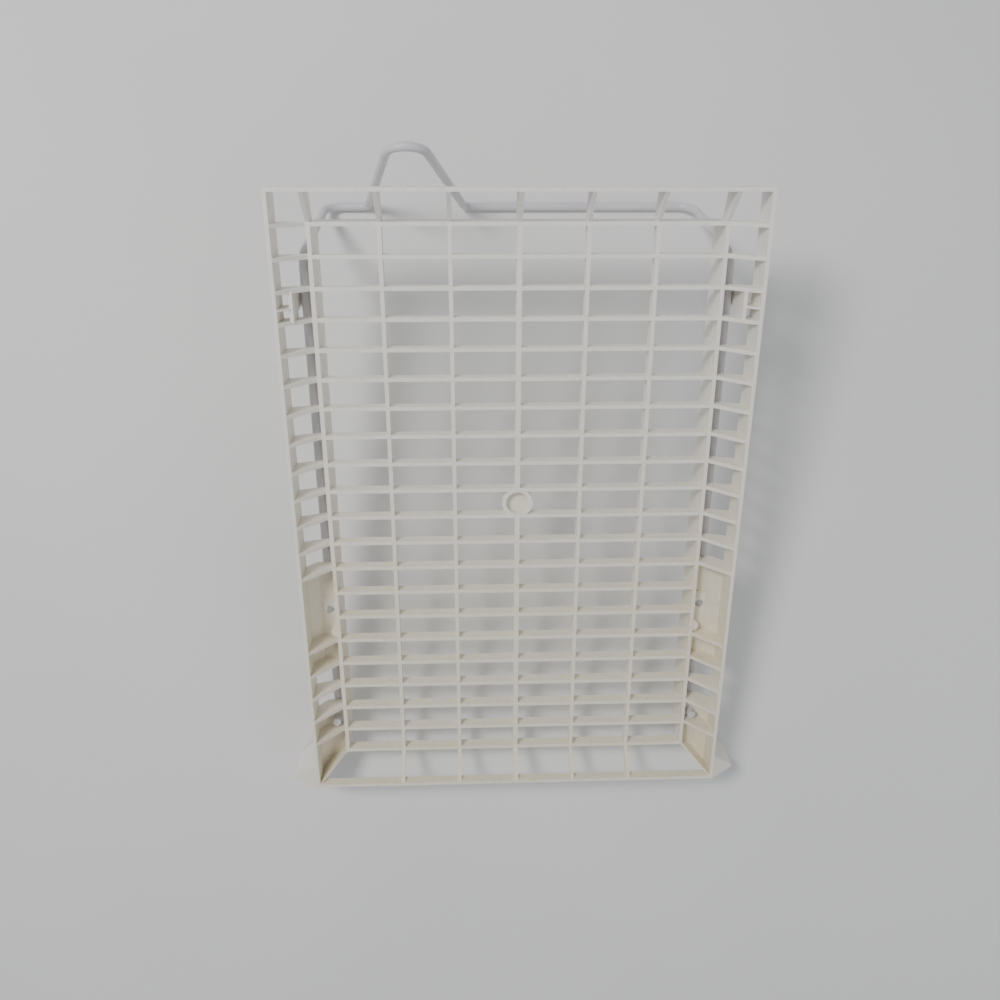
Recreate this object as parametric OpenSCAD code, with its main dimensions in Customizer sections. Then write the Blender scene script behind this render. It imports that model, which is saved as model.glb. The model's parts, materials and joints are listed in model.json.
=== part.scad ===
// Drying rack for a tumble dryer: one moulded tray with a slatted floor and
// sloped edges, propped at the rear by one bent and coated wire.
// Millimetres. The tray is drawn level, with its floor's upper face at height
// zero, the rear slat at Y = 0 and the front towards -Y. Both parts are then
// tipped onto the surface that the wire and the two front feet rest on.

/* [Slatted floor] */
// Spacing of the long bars, centre to centre
bar_pitch = 50.8; // [46:0.1:56]
// Number of long bars, always odd so that one lies in the middle
bar_count = 7; // [5:2:9]
// Spacing of the cross slats, centre to centre
slat_pitch = 22.86; // [22:0.01:26]
// Number of cross slats
slat_count = 21; // [20:1:23]
// Thickness of each long bar
bar_t = 3; // [2:0.1:4]
// Thickness of the bar in the middle
centre_bar_t = 4; // [3:0.1:6]
// Thickness of each cross slat
slat_t = 3; // [2:0.1:4]
// Depth of the bars and slats
floor_depth = 10; // [8:0.5:11]

/* [Rim] */
// Height of the rim above the floor
rim_height = 21.6; // [16:0.1:28]
// Distance from the side bars out to the middle of the side walls
side_gap = 24.5; // [23:0.1:30]
// Distance from the rear slat to the middle of the rear wall
rear_gap = 24; // [20:0.1:30]
// Distance from the front slat to the middle of the front strip
front_gap = 21.9; // [18:0.1:28]
// Thickness of the rim walls
rim_t = 2.8; // [2:0.1:3.6]
// How far the rim walls reach below the floor's upper face
rim_drop = 2.5; // [1:0.1:5]
// Height of the shallow strip that closes the front
front_strip = 8.6; // [6:0.1:14]

/* [Skirt] */
// Depth of the inner walls below the floor's upper face
skirt_depth = 35; // [24:0.5:36]
// Thickness of the inner walls
skirt_t = 2.4; // [2:0.1:3]
// How far the lower front corner of the skirt is set back
skirt_setback = 15; // [10:0.5:30]

/* [Pockets] */
// Depth of the underside of the closed pockets below the floor's upper face
pocket_depth = 11.4; // [11:0.1:14]
// Thickness of the pocket floors
pocket_t = 2.5; // [2:0.1:3.5]
// Width of the flat part of the pocket floors, from the side bar outward
pocket_flat = 15.2; // [13:0.1:17]
// Height of the low rib that crosses the long pocket
gusset_height = 7; // [4:0.5:10]
// Radius of the half-round stop beside the spare hole
stop_r = 5; // [3:0.5:6]

/* [Centre boss] */
// Outer diameter of the boss on the middle bar
boss_d = 24.5; // [22:0.5:30]
// Diameter of its recess
boss_recess_d = 18.5; // [12:0.5:20]
// Depth of its recess
boss_recess_depth = 6; // [2:0.5:7]

/* [Feet] */
// How far each front foot stands out from the side wall
foot_reach = 24.7; // [16:0.1:32]
// Length of the foot along the side wall
foot_length = 24; // [18:0.5:34]
// Depth of the feet below the floor's upper face
foot_depth = 28; // [25:0.5:34]
// Height of the foot's outer tip above the floor's upper face
foot_tip = 5; // [0:0.5:12]
// Wall of the hollow foot
foot_t = 2.5; // [2:0.1:3]

/* [Wire] */
// Diameter of the coated wire
wire_d = 6.9; // [5:0.1:7.5]
// Distance from the side bars out to the legs of the wire
leg_offset = 8; // [7.6:0.1:8.6]
// Depth of the crossbar below the floor's upper face
prop_depth = 142; // [110:1:170]
// How far behind the rear slat the crossbar lies
prop_back = 5; // [-10:1:20]
// Where the legs turn down, in front of the rear slat
turn_y = 23; // [16:1:30]
// Bend radius of the legs and of the crossbar's corners
bend_r = 15; // [11:0.5:20]
// Bend radius where the front ends turn up through the pocket floor
end_bend_r = 9; // [6:0.5:11]
// Height of the wire's front ends above the pocket floor's underside
end_rise = 11; // [6:0.5:14]

/* [Loop in the crossbar] */
// Middle of the loop, to the left of the rack's middle
loop_x = 82; // [60:1:95]
// Width of the loop where its sides leave the crossbar
loop_width = 83.4; // [70:0.1:100]
// Height of the loop along its own slope
loop_height = 130.7; // [80:0.1:140]
// How far the loop's top leans back from the crossbar
loop_lean = 47; // [30:1:60]
// Lean of each side of the loop toward its middle, in degrees
loop_angle = 12.6; // [9:0.1:14]
// Bend radius where the loop leaves the crossbar
loop_bend_r = 8; // [6:0.5:12]

/* [Clips and fits] */
// Gap between the wire and the tray where one rests on the other
seat_gap = 0.3; // [0.2:0.05:0.5]
// How much wider than the wire the holes are
hole_clearance = 0.6; // [0.4:0.1:1]
// Gap between the wire and the clip's plate
clip_gap = 1.6; // [0.4:0.1:2]
// Thickness of the clip's plate
clip_t = 2.7; // [2:0.1:3]
// Length of the clip's hook along the wire
hook_length = 13; // [8:0.5:15]
// Thickness of the hook under the wire
hook_t = 2.6; // [2:0.1:3.5]

/* [Hidden] */
$fn = 48;
wire_sides = 20;
bend_step = 11.5;

// Outline of the tray
last = slat_count - 1;
mid = (bar_count - 1) / 2;
bar_x = mid * bar_pitch;
rim_x = bar_x + side_gap;
front_slat_y = -last * slat_pitch;
front_y = front_slat_y - front_gap;
inner_x = rim_x - rim_t / 2;
rim_front = front_y - rim_t / 2;
fin_x = bar_x + bar_t / 2 + 0.6;
edge_depth = floor_depth * 0.72;
strip_z = rim_height - front_strip;
pocket_x = bar_x + pocket_flat;

// Rows, counted in slats from the rear
clip_row = 2;
long_pocket = [last - 8, last - 5];
short_pocket = [last - 5, last - 4];
plug_pocket = [last - 2, last - 1];
pocket_walls = [last - 8, last - 5, last - 4, last - 2, last - 1];
open_fins = concat([for (s = [0 : last - 9]) s], [last - 3]);
plug_y = -(last - 1.32) * slat_pitch;
spare_y = -(last - 6.13) * slat_pitch;
gusset_y = -(last - 6.7) * slat_pitch;
stop_y = -(last - 5.35) * slat_pitch;
boss_y = -(last / 2 - 0.5) * slat_pitch;

// Wire
wire_r = wire_d / 2;
leg_x = bar_x + leg_offset;
leg_z = -pocket_depth - seat_gap - wire_r;
hole_d = wire_d + hole_clearance;
loop_side = loop_width / 2;
loop_rise = sqrt(pow(loop_height, 2) - pow(loop_lean, 2));
loop_peak = loop_side / tan(loop_angle);
loop_top_r = (loop_peak - loop_height) * sin(loop_angle) / (1 - sin(loop_angle));
loop_dir = [0, loop_lean, loop_rise] / loop_height;
prop_l = [-leg_x, prop_back, -prop_depth];
prop_r = [leg_x, prop_back, -prop_depth];
loop_foot = [-loop_x, prop_back, -prop_depth];
wire_path = [
  [-leg_x, plug_y, -pocket_depth + end_rise],
  [-leg_x, plug_y, leg_z],
  [-leg_x, -turn_y, leg_z],
  prop_l,
  loop_foot - [loop_side, 0, 0],
  loop_foot + loop_dir * loop_peak,
  loop_foot + [loop_side, 0, 0],
  prop_r,
  [leg_x, -turn_y, leg_z],
  [leg_x, plug_y, leg_z],
  [leg_x, plug_y, -pocket_depth + end_rise]
];
wire_bends = [0, end_bend_r, bend_r, bend_r, loop_bend_r, loop_top_r, loop_bend_r,
  bend_r, bend_r, end_bend_r, 0];

// Clip
clip_in = leg_x + wire_r + clip_gap;
clip_out = clip_in + clip_t;
clip_y = -(clip_row + 0.5) * slat_pitch + 3;
hook_top = leg_z - wire_r - seat_gap;

// Rest on a level surface: the crossbar behind and the feet in front
span_y = prop_back - rim_front;
span_z = prop_depth - foot_depth;
rest_tilt = atan(span_z / span_y) + asin(wire_r / norm([span_y, span_z]));
ground = rim_front * sin(rest_tilt) - foot_depth * cos(rest_tilt);
low_end = rim_front * cos(rest_tilt) - rim_height * sin(rest_tilt);
high_end = (prop_back + loop_lean) * cos(rest_tilt)
  - (loop_rise - prop_depth) * sin(rest_tilt) + wire_r;

function edge_z(x) = rim_height * (x - fin_x) / (inner_x - fin_x);
function bar_w(i) = i == mid ? centre_bar_t : bar_t;
function unit(v) = v / norm(v);

module at_rest() {
  translate([0, -(low_end + high_end) / 2, -ground]) rotate([rest_tilt, 0, 0]) children();
}

module both_sides() {
  children();
  mirror([1, 0, 0]) children();
}

// A flat shape drawn in X and Z, given a thickness in Y from y back to y - t
module across(y, t) {
  translate([0, y, 0]) rotate([90, 0, 0]) linear_extrude(t) children();
}

// A flat shape drawn in Y and Z, given a thickness t in X about x
module along(x, t) {
  translate([x - t / 2, 0, 0]) rotate([90, 0, 90]) linear_extrude(t) children();
}

// Slatted floor: a plate with one opening for each cell
module slatted_floor() {
  translate([0, 0, -floor_depth]) linear_extrude(floor_depth) difference() {
    translate([-bar_x - bar_t / 2, front_slat_y - slat_t / 2])
      square([2 * bar_x + bar_t, -front_slat_y + slat_t]);
    for (i = [0 : bar_count - 2], s = [1 : last])
      translate([(i - mid) * bar_pitch + bar_w(i) / 2, -s * slat_pitch + slat_t / 2])
        square([bar_pitch - (bar_w(i) + bar_w(i + 1)) / 2, slat_pitch - slat_t]);
  }
}

// Edge of the tray from the side bar up to the rim, seen from the front
module fin_shape(low, low_x) {
  polygon([[bar_x, 0], [fin_x, 0], [inner_x, rim_height], [rim_x, rim_height],
    [rim_x, -rim_drop], [inner_x, -rim_drop], [low_x, -low], [bar_x, -low]]);
}

module open_fin_shape() {
  polygon([[bar_x, 0], [fin_x, 0], [inner_x, rim_height], [rim_x, rim_height],
    [rim_x, -rim_drop], [inner_x, -rim_drop], [leg_x + 1.6, -edge_depth],
    [bar_x, -floor_depth]]);
}

// Floor of a closed pocket with its steep outer slope
module pocket_shape() {
  polygon([[bar_x, -pocket_depth], [pocket_x, -pocket_depth], [rim_x, -rim_drop],
    [rim_x, -rim_drop + pocket_t], [inner_x, -rim_drop + pocket_t],
    [pocket_x - 0.6, pocket_t - pocket_depth], [bar_x, pocket_t - pocket_depth]]);
}

module pocket_floor(rows) {
  across(-rows[0] * slat_pitch, (rows[1] - rows[0]) * slat_pitch) pocket_shape();
}

// Ends of the long bars behind the rear slat
module rear_bar_end(x, t) {
  along(x, t) polygon([[0, 0], [slat_t / 2, 0], [rear_gap - rim_t / 2, rim_height],
    [rear_gap, rim_height], [rear_gap, -rim_drop], [slat_t / 2, -floor_depth - 2],
    [0, -floor_depth - 2]]);
}

// Ends of the long bars in front of the front slat
module front_bar_end(x, t) {
  along(x, t) polygon([[front_slat_y, 0], [front_slat_y - slat_t / 2, 0],
    [front_y + rim_t / 2, rim_height], [front_y, rim_height], [front_y, strip_z],
    [front_y + rim_t / 2, strip_z], [front_slat_y, -floor_depth]]);
}

module rim() {
  translate([0, 0, -rim_drop]) linear_extrude(rim_height + rim_drop) {
    translate([-rim_x, rear_gap - rim_t / 2]) square([2 * rim_x, rim_t]);
    both_sides() translate([rim_x - rim_t / 2, rim_front])
      square([rim_t, rear_gap + rim_t / 2 - rim_front]);
  }
  translate([-rim_x, rim_front, strip_z]) cube([2 * rim_x, rim_t, front_strip]);
}

// Inner walls that hang below the side bars and the rear slat
module skirt() {
  both_sides() along(bar_x, skirt_t)
    polygon([[0, -1], [0, -skirt_depth], [front_slat_y + skirt_setback, -skirt_depth],
      [front_slat_y, -floor_depth], [front_slat_y, -1]]);
  translate([-bar_x - skirt_t / 2, -skirt_t / 2, -skirt_depth])
    cube([2 * bar_x + skirt_t, skirt_t, skirt_depth - 1]);
}

// Closed front corner with the wall that runs to the corner of the rim
module front_corner() {
  intersection() {
    across(-(last - 1) * slat_pitch, slat_pitch + front_gap) pocket_shape();
    translate([0, 0, -pocket_depth]) linear_extrude(pocket_depth + rim_height)
      polygon([[bar_x, -(last - 1) * slat_pitch], [rim_x, -(last - 1) * slat_pitch],
        [rim_x, front_y], [bar_x, front_slat_y]]);
  }
  intersection() {
    across(front_slat_y + slat_t, slat_t + front_gap) fin_shape(pocket_depth, pocket_x);
    translate([0, 0, -pocket_depth]) linear_extrude(pocket_depth + rim_height)
      polygon([[bar_x, front_slat_y + slat_t / 2], [bar_x, front_slat_y - slat_t / 2],
        [rim_x - slat_t / 2, front_y], [rim_x, front_y], [rim_x, front_y + slat_t / 2]]);
  }
}

// Foot on the outside of each front corner, open below
module foot_solid(inset, top_drop) {
  intersection() {
    translate([0, 0, -foot_depth - 1]) linear_extrude(foot_depth + rim_height + 2)
      offset(delta = -inset) polygon([[rim_x - rim_t / 2, rim_front + foot_length],
        [rim_x + rim_t / 2, rim_front + foot_length],
        [rim_x + foot_reach, rim_front], [rim_x - rim_t / 2, rim_front]]);
    across(rim_front + foot_length + 1, foot_length + 2)
      polygon([[inner_x, -foot_depth - inset], [inner_x, rim_height - top_drop],
        [rim_x + rim_t / 2, rim_height - top_drop],
        [rim_x + foot_reach, foot_tip - top_drop], [rim_x + foot_reach, -foot_depth - inset]]);
  }
}

module foot() {
  difference() {
    foot_solid(0, 0);
    foot_solid(foot_t, foot_t * 1.3);
  }
}

// Clip beside the wire: a plate between two slats with a hook under the wire
module clip() {
  low = hook_top - hook_t;
  top = edge_z((clip_in + clip_out) / 2);
  y0 = -clip_row * slat_pitch;
  along((clip_in + clip_out) / 2, clip_t) polygon([[y0, top], [y0, -rim_drop],
    [clip_y + hook_length / 2, -rim_drop], [clip_y + hook_length / 2, low],
    [clip_y - hook_length / 2, low], [clip_y - hook_length / 2 - 2.5, -rim_drop - 5],
    [y0 - slat_pitch, -rim_drop - 5], [y0 - slat_pitch, top]]);
  across(clip_y + hook_length / 2, hook_length)
    polygon([[clip_out, low], [clip_out, hook_top], [leg_x + wire_r * 0.4, hook_top],
      [leg_x, hook_top - hook_t * 0.35], [leg_x + wire_r * 0.8, low]]);
  across(clip_y - hook_length / 4, slat_t / 2) intersection() {
    open_fin_shape();
    translate([(clip_in + clip_out) / 2, -floor_depth])
      square([side_gap, floor_depth + rim_height]);
  }
}

// Details on the floor of the long pocket, beside the spare hole
module pocket_details() {
  across(gusset_y, slat_t / 2) polygon([[bar_x, -pocket_depth + pocket_t / 2],
    [pocket_x, -pocket_depth + pocket_t / 2], [bar_x, gusset_height - pocket_depth]]);
  intersection() {
    translate([bar_x + bar_t / 2, stop_y, -pocket_depth + pocket_t / 2])
      cylinder(r = stop_r, h = pocket_depth - pocket_t);
    translate([bar_x, stop_y - stop_r, -pocket_depth])
      cube([stop_r * 2, stop_r * 2, pocket_depth]);
  }
}

module moulded_rack() color([0.97, 0.95, 0.9]) at_rest() {
  difference() {
    union() {
      slatted_floor();
      rim();
      skirt();
      for (i = [0 : bar_count - 1]) rear_bar_end((i - mid) * bar_pitch, bar_w(i));
      for (i = [1 : bar_count - 2]) front_bar_end((i - mid) * bar_pitch, bar_w(i));
      both_sides() {
        for (s = open_fins) across(-s * slat_pitch + slat_t / 2, slat_t) open_fin_shape();
        for (s = pocket_walls) across(-s * slat_pitch + slat_t / 2, slat_t)
          fin_shape(pocket_depth, pocket_x);
        pocket_floor(long_pocket);
        pocket_floor(short_pocket);
        pocket_floor(plug_pocket);
        front_corner();
        foot();
        clip();
        pocket_details();
      }
      translate([0, boss_y, -floor_depth]) cylinder(d = boss_d, h = floor_depth);
    }
    translate([0, boss_y, -boss_recess_depth])
      cylinder(d = boss_recess_d, h = boss_recess_depth + 1);
    both_sides() for (y = [plug_y, spare_y])
      translate([leg_x, y, -pocket_depth - 1]) cylinder(d = hole_d, h = pocket_t + 2);
  }
}

// Stations along the wire: each is a point and the direction of travel there
function bend_stations(p, q, r, radius) =
  let (u = unit(q - p), v = unit(r - q), w = unit(v - (v * u) * u), a = acos(u * v),
    c = q - u * radius * tan(a / 2) + w * radius, n = ceil(a / bend_step))
  [for (k = [0 : n]) let (t = k * a / n)
    [c + (u * sin(t) - w * cos(t)) * radius, u * cos(t) + w * sin(t)]];

function stations(points, bends) = let (n = len(points) - 1) concat(
  [[points[0], unit(points[1] - points[0])]],
  [for (i = [1 : n - 1])
    each bend_stations(points[i - 1], points[i], points[i + 1], bends[i])],
  [[points[n], unit(points[n] - points[n - 1])]]);

// Carries one sideways direction along the wire without twist
function carried(st, i, side, done) = i == len(st) ? done :
  let (s = unit(side - (side * st[i][1]) * st[i][1]))
  carried(st, i + 1, s, concat(done, [s]));

// Round wire through a list of corner points, with a bend radius at each corner
module bent_wire(points, bends, d) {
  st = stations(points, bends);
  side = carried(st, 0, [1, 0, 0], []);
  m = wire_sides;
  rings = len(st);
  skin = [for (i = [0 : rings - 1], k = [0 : m - 1])
    let (up = cross(st[i][1], side[i]), a = 360 * k / m)
    st[i][0] + (side[i] * cos(a) + up * sin(a)) * d / 2];
  walls = [for (i = [0 : rings - 2], k = [0 : m - 1])
    let (a = i * m + k, b = i * m + (k + 1) % m) each [[a, a + m, b], [b, a + m, b + m]]];
  ends = [[for (k = [0 : m - 1]) k], [for (k = [0 : m - 1]) rings * m - 1 - k]];
  polyhedron(points = skin, faces = concat(walls, ends), convexity = 8);
}

module wire_support() color([0.78, 0.77, 0.79]) at_rest() {
  bent_wire(wire_path, wire_bends, wire_d);
}

moulded_rack();
wire_support();
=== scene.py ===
import json
import math
import bpy
from mathutils import Matrix, Vector

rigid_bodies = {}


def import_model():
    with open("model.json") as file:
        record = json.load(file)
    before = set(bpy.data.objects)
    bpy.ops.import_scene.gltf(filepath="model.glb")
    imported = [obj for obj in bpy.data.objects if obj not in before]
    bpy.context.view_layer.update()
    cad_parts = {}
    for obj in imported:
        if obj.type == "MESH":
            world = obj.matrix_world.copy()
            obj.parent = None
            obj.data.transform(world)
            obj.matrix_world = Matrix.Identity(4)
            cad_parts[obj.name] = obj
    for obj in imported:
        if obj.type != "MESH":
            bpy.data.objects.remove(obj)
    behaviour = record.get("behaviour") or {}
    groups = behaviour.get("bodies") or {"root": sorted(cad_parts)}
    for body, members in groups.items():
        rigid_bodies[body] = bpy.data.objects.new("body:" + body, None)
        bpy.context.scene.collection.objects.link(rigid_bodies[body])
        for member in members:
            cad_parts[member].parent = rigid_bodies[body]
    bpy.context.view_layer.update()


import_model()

# The tray's own frame: level, with the rear slat at y = 0, in millimetres.
# It is tipped by TILT and set down at MID_Y and GROUND, as in the CAD.
TILT = math.radians(13.610577)
MID_Y = -206.69153
GROUND = -140.28569
TIP = Matrix.Rotation(TILT, 4, "X")
SEAT = Matrix.Translation((0, -MID_Y / 1000, -GROUND / 1000)) @ TIP


def seated(x, y, z):
    """A point of the level tray, in millimetres, as a point of the scene."""
    return SEAT @ Vector((x / 1000, y / 1000, z / 1000))


# Camera, at the photograph's viewing angle
cam_data = bpy.data.cameras.new("photo_camera")
cam_data.sensor_fit = "HORIZONTAL"
cam_data.sensor_width = 36
cam_data.lens = 0.863 * 36
cam_data.clip_start = 0.01
cam = bpy.data.objects.new("photo_camera", cam_data)
bpy.context.collection.objects.link(cam)
right = Vector((0.999329, 0.000963, 0.036606))
up = Vector((0.012533, 0.930293, -0.366604))
back = right.cross(up).normalized()
up = back.cross(right).normalized()
turn = Matrix((right, up, back)).transposed().to_4x4()
place = Matrix.Translation(seated(-38.35, 43.06, 652.1))
cam.matrix_world = place @ TIP @ turn
bpy.context.scene.camera = cam


# Material helpers
class Nodes:
    def __init__(self, name):
        self.mat = bpy.data.materials.new(name)
        self.mat.use_nodes = True
        self.tree = self.mat.node_tree
        self.shader = self.tree.nodes["Principled BSDF"]

    def add(self, kind, **values):
        node = self.tree.nodes.new(kind)
        for key, value in values.items():
            setattr(node, key, value)
        return node

    def link(self, a, b):
        self.tree.links.new(a, b)

    def noise(self, vector, scale, detail=3, rough=0.5):
        n = self.add("ShaderNodeTexNoise")
        n.inputs["Scale"].default_value = scale
        n.inputs["Detail"].default_value = detail
        n.inputs["Roughness"].default_value = rough
        self.link(vector, n.inputs["Vector"])
        return n.outputs["Fac"]

    def ramp(self, fac, stops):
        r = self.add("ShaderNodeValToRGB")
        el = r.color_ramp.elements
        while len(el) < len(stops):
            el.new(0.5)
        for e, (pos, col) in zip(el, stops):
            e.position = pos
            e.color = (*col, 1)
        self.link(fac, r.inputs["Fac"])
        return r.outputs["Color"]

    def mix(self, fac, a, b, blend="MIX"):
        m = self.add("ShaderNodeMix", data_type="RGBA", blend_type=blend)
        for socket, value in ((m.inputs[0], fac), (m.inputs[6], a), (m.inputs[7], b)):
            if isinstance(value, (int, float)):
                socket.default_value = value
            elif isinstance(value, tuple):
                socket.default_value = (*value, 1)
            else:
                self.link(value, socket)
        return m.outputs[2]

    def span(self, value, lo, hi, to_lo=0.0, to_hi=1.0):
        m = self.add("ShaderNodeMapRange")
        for i, v in enumerate((lo, hi, to_lo, to_hi)):
            m.inputs[i + 1].default_value = v
        self.link(value, m.inputs[0])
        return m.outputs[0]

    def bump(self, height, strength, distance, normal=None):
        b = self.add("ShaderNodeBump")
        b.inputs["Strength"].default_value = strength
        b.inputs["Distance"].default_value = distance
        self.link(height, b.inputs["Height"])
        if normal is not None:
            self.link(normal, b.inputs["Normal"])
        return b.outputs["Normal"]


def rack_plastic():
    m = Nodes("rack_plastic_look")
    place = m.add("ShaderNodeTexCoord").outputs["Object"]
    parts = m.add("ShaderNodeSeparateXYZ")
    m.link(place, parts.inputs[0])
    # Whiter toward the raised rear, more yellow toward the low front, with random tone mixed
    # in
    rear_to_front_blend = m.span(parts.outputs["Y"], 0.22, -0.2)
    cloud = m.noise(place, 9, 3)
    tone_blend = m.add("ShaderNodeMath", operation="MULTIPLY_ADD")
    m.link(cloud, tone_blend.inputs[0])
    tone_blend.inputs[1].default_value = 0.35
    m.link(rear_to_front_blend, tone_blend.inputs[2])
    tone = m.ramp(tone_blend.outputs[0], [(0.12, (0.86, 0.84, 0.81)), (0.55, (0.84, 0.80, 0.71)),
                                    (1.0, (0.82, 0.76, 0.62))])
    # Fine dirt held in the texture
    specks = m.noise(place, 260, 4, 0.65)
    dirt = m.ramp(specks, [(0.28, (0.80, 0.75, 0.66)), (0.5, (1, 1, 1))])
    tone = m.mix(0.55, tone, dirt, "MULTIPLY")
    # Painted highlight: convex edges painted paler, standing in for light catching the edges
    geo = m.add("ShaderNodeNewGeometry").outputs["Pointiness"]
    edge = m.span(geo, 0.5, 0.62)
    tone = m.mix(edge, tone, (0.90, 0.87, 0.80))
    m.link(tone, m.shader.inputs["Base Color"])
    blotch = m.noise(place, 40, 3)
    m.link(m.span(blotch, 0.3, 0.7, 0.36, 0.52), m.shader.inputs["Roughness"])
    grain = m.noise(place, 1500, 2)
    flow = m.noise(place, 55, 2)
    normal = m.bump(flow, 0.25, 0.0006)
    m.link(m.bump(grain, 0.18, 0.0002, normal), m.shader.inputs["Normal"])
    m.shader.inputs["IOR"].default_value = 1.49
    m.shader.inputs["Subsurface Weight"].default_value = 0.12
    m.shader.inputs["Subsurface Radius"].default_value = (0.004, 0.003, 0.002)
    m.shader.inputs["Subsurface Scale"].default_value = 0.5
    return m.mat


def coated_wire():
    m = Nodes("coated_wire_look")
    place = m.add("ShaderNodeTexCoord").outputs["Object"]
    cloud = m.noise(place, 30, 3)
    tone = m.ramp(cloud, [(0.3, (0.60, 0.59, 0.63)), (0.7, (0.68, 0.67, 0.70))])
    specks = m.noise(place, 420, 3, 0.6)
    dirt = m.ramp(specks, [(0.27, (0.72, 0.70, 0.70)), (0.42, (1, 1, 1))])
    m.link(m.mix(0.5, tone, dirt, "MULTIPLY"), m.shader.inputs["Base Color"])
    m.link(m.span(m.noise(place, 120, 2), 0.3, 0.7, 0.26, 0.42), m.shader.inputs["Roughness"])
    peel = m.noise(place, 700, 2)
    wave = m.noise(place, 90, 2)
    normal = m.bump(wave, 0.2, 0.0006)
    m.link(m.bump(peel, 0.15, 0.0002, normal), m.shader.inputs["Normal"])
    m.shader.inputs["IOR"].default_value = 1.52
    m.shader.inputs["Coat Weight"].default_value = 0.25
    m.shader.inputs["Coat Roughness"].default_value = 0.2
    return m.mat


def dress(node, mat, edge, segments=2):
    """Gives a CAD node its material and softens its moulded edges."""
    for obj in bpy.data.objects:
        if obj.type == "MESH" and (obj.name == node or obj.name.startswith(node + ".")):
            if not obj.material_slots:
                obj.data.materials.append(mat)
            for s in obj.material_slots:
                s.material = mat
            if edge:
                bevel = obj.modifiers.new("soft_edges", "BEVEL")
                bevel.width = edge
                bevel.segments = segments
                bevel.limit_method = "ANGLE"
                bevel.angle_limit = math.radians(35)
                bevel.harden_normals = False
            return obj


rack = dress("moulded_rack", rack_plastic(), 0.0006)
wire = dress("wire_support", coated_wire(), 0)

# Pale floor, a flat plane
m = Nodes("studio_floor_look")
place = m.add("ShaderNodeTexCoord").outputs["Object"]
m.link(m.ramp(m.noise(place, 3, 2), [(0.3, (0.74, 0.74, 0.74)), (0.7, (0.78, 0.78, 0.77))]),
       m.shader.inputs["Base Color"])
m.shader.inputs["Roughness"].default_value = 0.85
bpy.ops.mesh.primitive_plane_add(size=12, location=(0, 0, -0.0004))
floor = bpy.context.object
floor.name = "studio_floor"
floor.data.materials.append(m.mat)


def area_light(name, at, toward, size, power, tint=(1, 1, 1)):
    data = bpy.data.lights.new(name, "AREA")
    data.size = size
    data.energy = power
    data.color = tint
    lamp = bpy.data.objects.new(name, data)
    lamp.location = at
    lamp.rotation_euler = (Vector(toward) - Vector(at)).to_track_quat("-Z", "Y").to_euler()
    bpy.context.collection.objects.link(lamp)


area_light("key_light", (-0.9, 0.7, 1.7), (0, 0, 0.05), 0.5, 26, (1, 0.985, 0.96))
area_light("fill_light", (1.4, -0.8, 1.5), (0, 0, 0.05), 1.6, 9, (0.97, 0.98, 1))
world = bpy.data.worlds.new("studio_world")
world.use_nodes = True
world.node_tree.nodes["Background"].inputs[0].default_value = (0.92, 0.95, 1, 1)
world.node_tree.nodes["Background"].inputs[1].default_value = 0.42
bpy.context.scene.world = world

bpy.context.view_layer.update()
